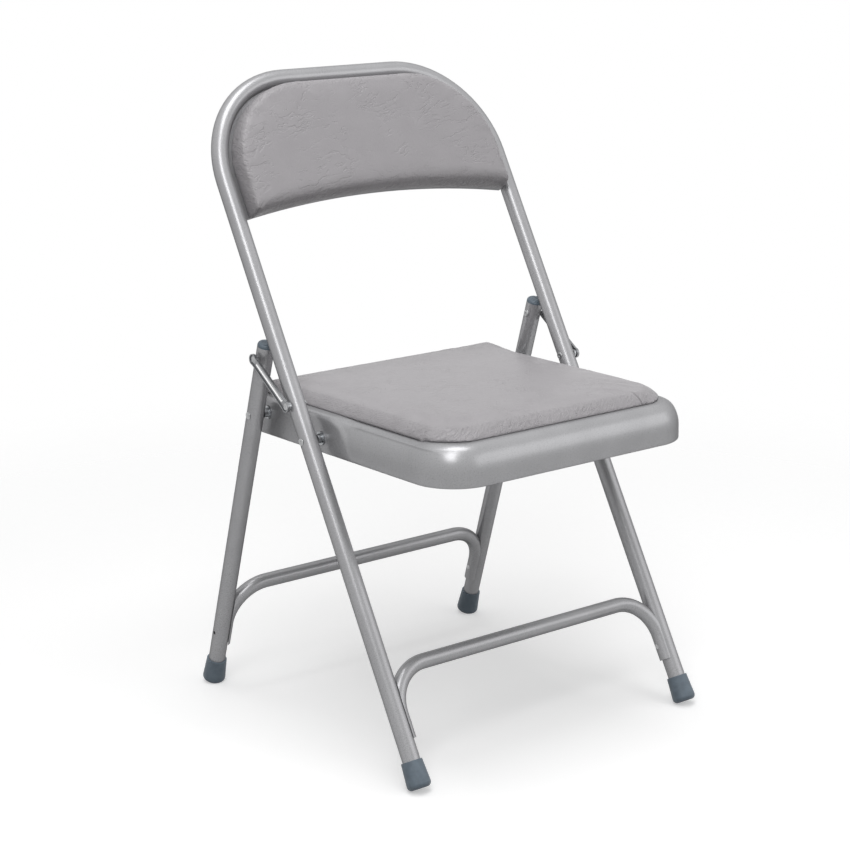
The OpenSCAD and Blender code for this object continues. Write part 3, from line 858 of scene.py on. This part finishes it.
@dataclass
class Pad:
    """What the cushion and the back pad share: a stuffed vinyl skin over a board."""

    frame: ChairFrame
    finish: Material
    stuffing: Stuffing

    def lay_skin(self, piece: Object, outline: Outline, into: Matrix, fade: Point) -> None:
        """Store where each point lies on the skin, for the creases that follow its edges.

        Args:
            piece: The finished skin, in the row frame.
            outline: The pad's outline in its own plane.
            into: Turns the row frame into the pad's own frame, whose Z is the pad's height.
            fade: Where the puckers begin to fade and where they end, up the wall and in over the roll.
        """
        tree = KDTree(len(outline.points))
        run = [0.0]
        for i, point in enumerate(outline.points):
            tree.insert(Vector((point.x, point.y, 0)), i)
            if i:
                run.append(run[-1] + (point - outline.points[i - 1]).length)
        tree.balance()
        attribute = piece.data.attributes.new("lay", "FLOAT_VECTOR", "POINT")
        for vertex in piece.data.vertices:
            local = into @ vertex.co
            _, index, _ = tree.find(Vector((local.x, local.y, 0)))
            edge, normal = outline.points[index], outline.normals[index]
            reach = (Vector((local.x, local.y)) - edge).dot(normal.normalized())
            along = Vector((-normal.y, normal.x)).normalized().dot(Vector((local.x, local.y)) - edge)
            climb = local.z - reach
            mask = 1.0 - smoothstep(fade[0], fade[1], climb)
            attribute.data[vertex.index].vector = (run[index] + along, climb, mask)

    def finish_skin(self, piece: Object) -> None:
        """Add the last subdivision and the vinyl.

        Args:
            piece: The stuffed skin.
        """
        modifier = piece.modifiers.new("fine", "SUBSURF")
        modifier.levels = 1
        modifier.render_levels = 1
        apply_modifiers(piece)
        piece.data.shade_smooth()
        piece.data.materials.clear()
        piece.data.materials.append(self.finish)

    def crease(self, piece: Object, depth: float, pitch: float, slant: float, seed: float) -> None:
        """Work short slanted wrinkles into the walls of the skin, in patches.

        Args:
            piece: The finished skin, with its lay stored.
            depth: How deep the wrinkles go.
            pitch: Distance from one wrinkle to the next.
            slant: Their lean from upright, in degrees.
            seed: Shifts the pattern, so that no two pads match.
        """
        lay = piece.data.attributes["lay"].data
        normals = [n.vector.copy() for n in piece.data.vertex_normals]
        lean_cos, lean_sin = math.cos(math.radians(slant)), math.sin(math.radians(slant))
        for vertex, normal in zip(piece.data.vertices, normals):
            run, climb, mask = lay[vertex.index].vector
            if mask < 0.01:
                continue
            across = (run * lean_cos + climb * lean_sin) / pitch
            along = (climb * lean_cos - run * lean_sin) / (3.2 * pitch)
            patch = smoothstep(-0.25, 0.3, noise.noise((run / (42 * MM), climb / (30 * MM), seed)))
            ridge = 0.5 - 2.4 * abs(noise.noise((across, along, seed + 7)))
            vertex.co -= normal * (depth * mask * patch * ridge)


@dataclass
class SeatCushion(Pad):
    """The seat's cushion: round in plan, softly rolled all round, and tucked under at the pan."""

    half_width: float = 187 * MM
    front: float = 223 * MM
    rear: float = 148 * MM
    base: float = 30 * MM
    height: float = 16.2 * MM
    front_radius: float = 57 * MM
    rear_radius: float = 9 * MM
    roll: float = 24 * MM
    rear_roll: float = 7 * MM
    side_droop: float = 2.2 * MM
    crown: float = 1.0 * MM
    grow: float = 1.0 * MM
    net: float = 6 * MM

    def profile(self, roll: float) -> list[Point]:
        """Run from under the tucked edge, round it, and up over the roll.

        Args:
            roll: How far in the roll runs before the top is level.

        Returns:
            Pairs of inset and height above the pan.
        """
        points = [(14 * MM, 0.3 * MM), (7 * MM, -0.2 * MM), (1.8 * MM, -0.9 * MM), (0.0, -0.3 * MM)]
        points = [(inset - self.grow, height) for inset, height in points]
        start = 1.6 * MM
        turns = 10
        for k in range(turns + 1):
            left = 1 - k / turns
            points.append((roll * (1 - left) - self.grow, self.height - (self.height - start) * left**2.2))
        return points

    def droop(self, point: Vector, normal: Vector) -> float:
        """Return how far the edge hangs, where the pan's sides round away under it ahead of the hinges.

        Args:
            point: A point of the cushion's plan.
            normal: The plan's outward normal there.

        Returns:
            The drop, which is nothing along the front and beside the hinges.
        """
        ahead = 1 - smoothstep(-60 * MM, -12 * MM, point.y)
        return self.side_droop * (1 - facing_front(normal, 0.25, 0.8)) * ahead

    def build(self) -> Object:
        """Stuff the cushion and set it on the pan.

        Returns:
            The cushion's skin.
        """
        outline = seat_plan(self)
        rings = []
        for soft, tight in zip(self.profile(self.roll), self.profile(self.rear_roll)):
            ring = []
            for point, normal in zip(outline.points, outline.normals):
                share = smoothstep(self.rear - 80 * MM, self.rear - 15 * MM, point.y)
                inset = soft[0] + (tight[0] - soft[0]) * share
                height = soft[1] + (tight[1] - soft[1]) * share
                lip = (1 - smoothstep(0, 8 * MM, height)) * (1 - smoothstep(0, 9 * MM, inset))
                height -= self.droop(point, normal) * lip
                spot = point - normal * inset
                ring.append(Vector((spot.x, spot.y, self.base + height)))
            rings.append(ring)
        cushion = loft("seat_cushion_skin", rings, cap_first=True)
        self.stuffing.remesh(cushion)
        middle = (self.rear - self.front) / 2
        half_depth = (self.rear + self.front) / 2
        for vertex in cushion.data.vertices:
            co = vertex.co
            rise = max(0.0, (co.z - self.base) / self.height)
            dome = (1 - (co.x / self.half_width) ** 2) * (1 - ((co.y - middle) / half_depth) ** 2)
            co.z += self.crown * max(0.0, dome) * rise
        self.stuffing.blow_up(cushion, lambda co: 1.0 if co.z < self.base + 2 * MM else 0.0)
        cushion.data.transform(self.frame.seat)
        self.finish_skin(cushion)
        self.lay_skin(cushion, outline, self.into(), (26 * MM, 42 * MM))
        self.crease(cushion, 0.35 * MM, 5.5 * MM, 35, 3.0)
        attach(cushion, "seat")
        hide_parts("seat_cushion")
        return cushion

    def into(self) -> Matrix:
        """Turn the row frame into the cushion's own, with its base at zero."""
        return Matrix.Translation((0, 0, -self.base)) @ self.frame.seat.inverted()


@dataclass
class BackPad(Pad):
    """The back pad: it fills the arch, and its arched lower edge meets its sides at mitres."""

    half_width: float = 205.3 * MM
    corner_centre: Point = (87.7 * MM, 787.4 * MM)
    low_corner: float = 732.5 * MM
    low_rise: float = 17.2 * MM
    depth: float = 29.7 * MM
    roll: float = 7 * MM
    low_roll: float = 12 * MM
    bulge: float = 0.8 * MM
    mitre: float = 1.1 * MM
    net: float = 6 * MM

    def outline(self) -> Outline:
        """Draw the pad's front view: arched at the top, with a shallow arc along the bottom.

        Returns:
            The closed outline, in the front frame's plane.
        """
        x, z = self.corner_centre
        radius = self.half_width - x
        low_radius = (self.half_width**2 + self.low_rise**2) / (2 * self.low_rise)
        half_angle = math.degrees(math.asin(self.half_width / low_radius))
        low_centre = (0.0, self.low_corner + self.low_rise - low_radius)
        points = (
            arc(low_centre, low_radius, 90 + half_angle, 90 - half_angle, self.net)
            + arc((x, z), radius, 0, 90, self.net)
            + arc((-x, z), radius, 90, 180, self.net)
        )
        return Outline.of(spaced(points, self.net))

    def profile(self, roll: float) -> list[Point]:
        """Run from the back of the wall, out over its slight bulge, and round the front roll.

        Args:
            roll: Radius of the front roll.

        Returns:
            Pairs of inset and height above the back of the pad.
        """
        start = self.depth - roll
        points = [(9 * MM, 0.3 * MM), (0.0, 0.3 * MM)]
        points += [(-self.bulge * 0.6, start * 0.3), (-self.bulge, start * 0.65)]
        turns = 8
        for k in range(turns + 1):
            a = math.pi / 2 * k / turns
            points.append((roll * (1 - math.cos(a)), start + roll * math.sin(a)))
        return points

    def fold_mitres(self, piece: Object) -> None:
        """Draw the skin in along the folds that run inward from the two lower corners.

        Args:
            piece: The skin in the pad's own plane, after its subdivision.
        """
        for vertex in piece.data.vertices:
            co = vertex.co
            out, up = self.half_width - abs(co.x), co.y - self.low_corner
            off = (out * 1.25 - up) / math.hypot(1.25, 1)
            reach = 1 - smoothstep(8 * MM, 26 * MM, math.hypot(out, up))
            front = smoothstep(0.35 * self.depth, 0.7 * self.depth, co.z)
            co.z -= self.mitre * reach * front * math.exp(-((off / (1.6 * MM)) ** 2))

    def build(self) -> Object:
        """Stuff the pad and set it in the arch.

        Returns:
            The pad's skin.
        """
        outline = self.outline()
        rings = []
        for side, low in zip(self.profile(self.roll), self.profile(self.low_roll)):
            ring = []
            for point, normal in zip(outline.points, outline.normals):
                share = facing_front(normal, 0.6, 0.8)
                inset = side[0] + (low[0] - side[0]) * share
                spot = point - normal * inset
                ring.append(Vector((spot.x, spot.y, side[1] + (low[1] - side[1]) * share)))
            rings.append(ring)
        pad = loft("back_pad_skin", rings, cap_first=True)
        self.stuffing.remesh(pad)
        self.stuffing.blow_up(pad, lambda co: 1.0 if co.z < 2 * MM else 0.0)
        self.finish_skin(pad)
        self.fold_mitres(pad)
        # In the pad's own frame Y runs up the frame and Z comes out of its front.
        stand = self.frame.front @ Matrix(((1, 0, 0, 0), (0, 0, 1, 0), (0, 1, 0, 0), (0, 0, 0, 1)))
        pad.data.transform(stand)
        self.lay_skin(pad, outline, stand.inverted(), (30 * MM, 46 * MM))
        self.crease(pad, 0.3 * MM, 5 * MM, 10, 11.0)
        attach(pad, "front_frame")
        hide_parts("back_pad")
        return pad


# ---- hardware ----


@dataclass(frozen=True)
class Head:
    """One head of a rivet or screw: where it seats, which way it faces, and its size."""

    seat: Vector
    facing: Vector
    radius: float
    height: float


@dataclass
class Fasteners:
    """The heads of the rivets and screws on one body, turned up by one node tree."""

    name: str
    body: str
    finish: Material
    nodes: tuple[str, ...]
    heads: list[Head] = field(default_factory=list)
    dimple: float = 0.42
    sunk: float = 0.35

    def add_pair(self, axis: Vector, out: float, radius: float, height: float, outward: bool) -> None:
        """Add one head on each side of the chair.

        Args:
            axis: A point on the rivets' common axis.
            out: Distance from the middle of the chair to where the heads seat.
            radius: The heads' radius.
            height: The heads' height.
            outward: True for heads that face away from the middle.
        """
        for side in Side:
            facing = Vector((side.value if outward else -side.value, 0, 0))
            self.heads.append(Head(Vector((side.value * out, axis.y, axis.z)), facing, radius, height))

    def head(self, tree: NodeTree, dimple: NodeSocket, sunk: NodeSocket) -> Node:
        """Shape one head of unit radius and height: domed, dimpled, and let into what it holds.

        Args:
            tree: The node tree.
            dimple: Radius of the dimple.
            sunk: Depth of the foot below the seat.

        Returns:
            The node that gives the head's mesh.
        """
        disc = add_node(
            tree,
            "GeometryNodeMeshCylinder",
            {"Vertices": 32, "Side Segments": 1, "Fill Segments": 9, "Radius": 1.0, "Depth": 2.0},
            fill_type="TRIANGLE_FAN",
        )
        parts = add_node(tree, "SeparateXYZ", {"Vector": add_node(tree, "GeometryNodeInputPosition")})
        plan = {"X": parts.outputs["X"], "Y": parts.outputs["Y"]}
        flat = add_node(tree, "CombineXYZ", plan)
        reach = add_node(tree, "VectorMath", {0: flat}, operation="LENGTH").outputs["Value"]
        # The dome is a circle's arc; the dimple is what the setting tool leaves at its middle.
        curves: list[Node] = []
        for steps in (
            [("POWER", 2.0), ("MULTIPLY", -1.0), ("ADD", 1.04), ("MAXIMUM", 0.0), ("SQRT", 0.0)],
            [("DIVIDE", dimple), ("MULTIPLY", -1.0), ("ADD", 1.0), ("MAXIMUM", 0.0), ("SMOOTH_MIN", 0.45)],
        ):
            value: Any = reach
            for operation, number in steps:
                value = add_node(tree, "Math", {0: value, 1: number}, operation=operation)
            curves.append(value)
        depth = add_node(tree, "Math", {0: curves[1], 1: 1.6}, operation="MULTIPLY")
        top = add_node(tree, "Math", {0: curves[0], 1: depth}, operation="SUBTRACT")
        foot = add_node(tree, "Math", {0: sunk, 1: -1.0}, operation="MULTIPLY")
        is_top = add_node(tree, "Math", {0: parts.outputs["Z"], 1: 0.0}, operation="GREATER_THAN")
        height = add_node(tree, "Mix", {"Factor": is_top, "A": foot, "B": top}, data_type="FLOAT")
        shaped = add_node(tree, "CombineXYZ", {**plan, "Z": height})
        return add_node(tree, "GeometryNodeSetPosition", {"Geometry": disc, "Position": shaped})

    def tree(self) -> NodeTree:
        """Make the node tree, which sets a head on each point and turns it to its axis.

        Returns:
            The tree, with named inputs for the dimple, the sunk foot and the finish.
        """
        tree = bpy.data.node_groups.new("turned_heads", "GeometryNodeTree")
        sockets = tree.interface
        sockets.new_socket("Geometry", in_out="INPUT", socket_type="NodeSocketGeometry")
        for label, kind in (("Dimple", "Float"), ("Sunk", "Float"), ("Finish", "Material")):
            sockets.new_socket(label, in_out="INPUT", socket_type="NodeSocket" + kind)
        sockets.new_socket("Geometry", in_out="OUTPUT", socket_type="NodeSocketGeometry")
        given = add_node(tree, "NodeGroupInput").outputs
        facing, size = (
            add_node(tree, "GeometryNodeInputNamedAttribute", {"Name": name}, data_type="FLOAT_VECTOR")
            for name in ("facing", "size")
        )
        aim = add_node(tree, "FunctionNodeAlignRotationToVector", {"Vector": facing}, axis="Z")
        head = self.head(tree, given["Dimple"], given["Sunk"])
        copies = add_node(
            tree,
            "GeometryNodeInstanceOnPoints",
            {"Points": given["Geometry"], "Instance": head, "Rotation": aim, "Scale": size},
        )
        solid = add_node(tree, "GeometryNodeRealizeInstances", {"Geometry": copies})
        smooth = add_node(tree, "GeometryNodeSetShadeSmooth", {0: solid})
        dressed = add_node(tree, "GeometryNodeSetMaterial", {"Geometry": smooth, "Material": given["Finish"]})
        add_node(tree, "NodeGroupOutput", {"Geometry": dressed})
        return tree

    def build(self) -> Object:
        """Turn the heads, weld them into one mesh and rivet it to its body.

        Returns:
            The heads.
        """
        mesh = bpy.data.meshes.new(self.name)
        mesh.from_pydata([head.seat for head in self.heads], [], [])
        facing = mesh.attributes.new("facing", "FLOAT_VECTOR", "POINT")
        size = mesh.attributes.new("size", "FLOAT_VECTOR", "POINT")
        for i, head in enumerate(self.heads):
            facing.data[i].vector = head.facing
            size.data[i].vector = (head.radius, head.radius, head.height)
        piece = add_piece(self.name, mesh)
        modifier = piece.modifiers.new("heads", "NODES")
        modifier.node_group = self.tree()
        settings = {"Dimple": self.dimple, "Sunk": self.sunk, "Finish": self.finish}
        for socket in modifier.node_group.interface.items_tree:
            if socket.in_out == "INPUT" and socket.name in settings:
                modifier[socket.identifier] = settings[socket.name]
        apply_modifiers(piece)
        for attribute in [a for a in piece.data.attributes if a.name in ("facing", "size")]:
            piece.data.attributes.remove(attribute)
        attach(piece, self.body)
        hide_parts(*self.nodes)
        return piece


@dataclass
class Hardware:
    """All the rivets of the chair, body by body, at the places the frame gives."""

    frame: ChairFrame
    finish: Material
    outer_face: float = 230.6 * MM
    inner_face: float = 208.4 * MM
    link_head_face: float = 236.1 * MM
    tail_face: float = 197.2 * MM
    head_radius: float = 4.75 * MM
    tail_radius: float = 6 * MM
    head_height: float = 1.3 * MM

    def build(self) -> list[Object]:
        """Set every rivet head on its body.

        Returns:
            One piece for each body.
        """
        h, r = self.head_height, self.head_radius
        pivot, leg = self.frame.joint("seat_fold"), self.frame.joint("rear_leg_fold")
        link = self.frame.joint("link_left_pivot")
        held = ("seat_pivot_rivets", "link_pivot_rivets")
        front = Fasteners("front_frame_rivets", "front_frame", self.finish, held)
        front.add_pair(pivot, self.outer_face, r, h, True)
        front.add_pair(pivot, self.tail_face, self.tail_radius, h, False)
        front.add_pair(link, self.link_head_face, r, h, True)
        front.add_pair(link, self.inner_face, r, h, False)
        rear = Fasteners("rear_leg_rivets", "rear_legs", self.finish, ("leg_pivot_rivets", "stud_rivets"))
        rear.add_pair(leg, self.outer_face, r, h, True)
        rear.add_pair(leg, self.tail_face, self.tail_radius, h, False)
        rear.add_pair(self.frame.middle("stud_rivets"), self.inner_face, r, h, False)
        return [front.build(), rear.build()]


# ---- studio ----


@dataclass
class Studio:
    """A pale floor, a white surround, soft boxes and the camera."""

    azimuth: float = -38.10
    elevation: float = 15.0
    distance: float = 2.688
    aim: tuple[float, float, float] = (-0.0507, -0.0164, 0.3790)
    lens: float = 90.4
    sensor: float = 36.0
    lamp_aim: tuple[float, float, float] = (0.0, 0.0, 0.42)
    horizon: float = 0.05
    zenith: float = 0.45
    floor_lit: float = 0.24
    floor_seen: float = 0.75
    floor_glow: float = 0.42
    floor_clear: Point = (0.55, 1.7)

    def away(self, azimuth: float, elevation: float) -> Vector:
        """Return the direction from the chair that an azimuth and an elevation in degrees give."""
        a, e = math.radians(azimuth), math.radians(elevation)
        return Vector((math.sin(a) * math.cos(e), -math.cos(a) * math.cos(e), math.sin(e)))

    def camera(self) -> None:
        """Place the camera on its line of sight to the chair."""
        data = bpy.data.cameras.new("camera")
        data.lens = self.lens
        data.sensor_width = self.sensor
        data.clip_end = 100
        camera = add_piece("camera", data)
        camera.location = Vector(self.aim) + self.away(self.azimuth, self.elevation) * self.distance
        camera.rotation_euler = (math.radians(90 - self.elevation), 0, math.radians(self.azimuth))
        bpy.context.scene.camera = camera

    def soft_box(
        self, name: str, azimuth: float, elevation: float, distance: float, size: Point, power: float
    ) -> None:
        """Hang an area lamp that faces the chair.

        Args:
            name: The lamp's name.
            azimuth: Its side of the chair in degrees, counted as the camera's is.
            elevation: Its height above the horizon in degrees.
            distance: Its distance from the middle of the chair.
            size: Its width and height.
            power: Its power in watts.
        """
        data = bpy.data.lights.new(name, "AREA")
        data.shape = "RECTANGLE"
        data.size, data.size_y = size
        data.energy = power
        lamp = add_piece(name, data)
        back = self.away(azimuth, elevation)
        lamp.location = Vector(self.lamp_aim) + back * distance
        lamp.rotation_euler = (-back).to_track_quat("-Z", "Y").to_euler()

    def seen(self, tree: NodeTree) -> Node:
        """Tell the rays that look at things from those that light them.

        Args:
            tree: A world's or a material's tree.

        Returns:
            The node that gives 1 for camera, mirror and glass rays, and 0 for the others.
        """
        path = add_node(tree, "LightPath").outputs
        rays = {0: path["Is Camera Ray"], 1: path["Is Glossy Ray"]}
        looks = add_node(tree, "Math", rays, operation="MAXIMUM")
        return add_node(tree, "Math", {0: looks, 1: path["Is Transmission Ray"]}, operation="MAXIMUM")

    def surround(self) -> None:
        """Make the world: white to look at, and a soft dome of light, brightest overhead."""
        world = bpy.data.worlds.new("surround")
        bpy.context.scene.world = world
        world.use_nodes = True
        tree = world.node_tree
        tree.nodes.clear()
        along = add_node(tree, "TexCoord").outputs["Generated"]
        height = add_node(tree, "SeparateXYZ", {"Vector": along}).outputs["Z"]
        dome = add_node(tree, "MapRange", {"Value": height, "To Min": self.horizon, "To Max": self.zenith})
        light, white = (
            add_node(tree, "Background", {"Color": (1, 1, 1, 1), "Strength": strength})
            for strength in (dome, 1.0)
        )
        mix = add_node(tree, "MixShader", {0: self.seen(tree), 1: light, 2: white})
        add_node(tree, "OutputWorld", {"Surface": mix})

    def floor(self) -> None:
        """Lay the floor, which keeps the chair's soft shadow."""
        bpy.ops.mesh.primitive_plane_add(size=12, location=(0, 0, -0.0002))
        floor = bpy.context.object
        floor.name = "floor"
        material, tree = new_material("studio_floor")
        lit, matte = (
            add_node(tree, "BsdfDiffuse", {"Color": (grey, grey, grey, 1)})
            for grey in (self.floor_lit, self.floor_seen)
        )
        glow = add_node(tree, "Emission", {"Color": (1, 1, 1, 1), "Strength": self.floor_glow})
        looked_at = add_node(tree, "AddShader", {0: matte, 1: glow})
        ground = add_node(tree, "MixShader", {0: self.seen(tree), 1: lit, 2: looked_at})
        # Away from the chair the floor melts into the white surround.
        place = add_node(tree, "TexCoord").outputs["Object"]
        reach = add_node(tree, "VectorMath", {0: place}, operation="LENGTH").outputs["Value"]
        near, far = self.floor_clear
        span = {"Value": reach, "From Min": near, "From Max": far}
        fade = add_node(tree, "MapRange", span, interpolation_type="SMOOTHSTEP")
        clear = add_node(tree, "BsdfTransparent")
        total = add_node(tree, "MixShader", {0: fade, 1: ground, 2: clear})
        add_node(tree, "OutputMaterial", {"Surface": total})
        floor.data.materials.append(material)

    def build(self) -> None:
        """Set up the camera, lamps, surround and floor."""
        bpy.context.scene.view_settings.view_transform = "Standard"
        self.camera()
        self.surround()
        self.floor()
        self.soft_box("key", -50, 47, 3.0, (1.1, 2.1), 33)
        self.soft_box("front_right", 38, 20, 3.0, (2.8, 1.6), 14)
        self.soft_box("overhead", 0, 88, 2.6, (1.4, 1.4), 28)


# ---- dressing ----


def dress_nodes(frame: ChairFrame, finishes: dict[str, Material], own: dict[str, Material]) -> None:
    """Give each construction node the finish of its material slot.

    Args:
        frame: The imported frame.
        finishes: One material for each slot.
        own: The nodes that have a finish of their own.
    """
    slots = {part["node"]: part["material_slot"] for part in frame.loaded["record"]["subparts"]}
    for name, node in frame.loaded["nodes"].items():
        node.data.materials.clear()
        node.data.materials.append(own.get(name, finishes[slots[name]]))


def main() -> None:
    """Build the dressed chair in its studio."""
    logging.basicConfig(level=logging.INFO, format="%(name)s: %(message)s")
    frame = ChairFrame(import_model())
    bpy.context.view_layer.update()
    enamel, vinyl = SilverEnamel().build(), UpholsteryVinyl().build()
    finishes = {
        "painted_steel": enamel,
        "vinyl": vinyl,
        "fibreboard": Hardboard().build(),
        "moulded_plastic": MouldedPlastic().build(),
        "rivet_steel": PlatedSteel("zinc_plated_rivet_steel", "#b4b5b6", "#9c9d9e").build(),
        "bush_steel": PlatedSteel("plain_turned_steel", "#b4b6b8", "#96989b").build(),
    }
    low, high = frame.joint("link_left_pivot"), frame.middle("stud_rivets")
    # The pale tone #fafafa is the painted highlight along the link's rib.
    plated = PressedLink("plated_pressed_link_steel", "#fafafa", "#8e8f91", low, high).build()
    dress_nodes(frame, finishes, {"link_left": plated, "link_right": plated})
    pieces = [
        SeatPan(frame, enamel).build(),
        SeatCushion(frame, vinyl, Stuffing(swell=3 * MM)).build(),
        BackPad(frame, vinyl, Stuffing(swell=2 * MM)).build(),
        *Hardware(frame, finishes["rivet_steel"]).build(),
    ]
    for piece in pieces:
        LOG.info("%s: %d faces", piece.name, len(piece.data.polygons))
    Studio().build()


if __name__ == "__main__":
    main()
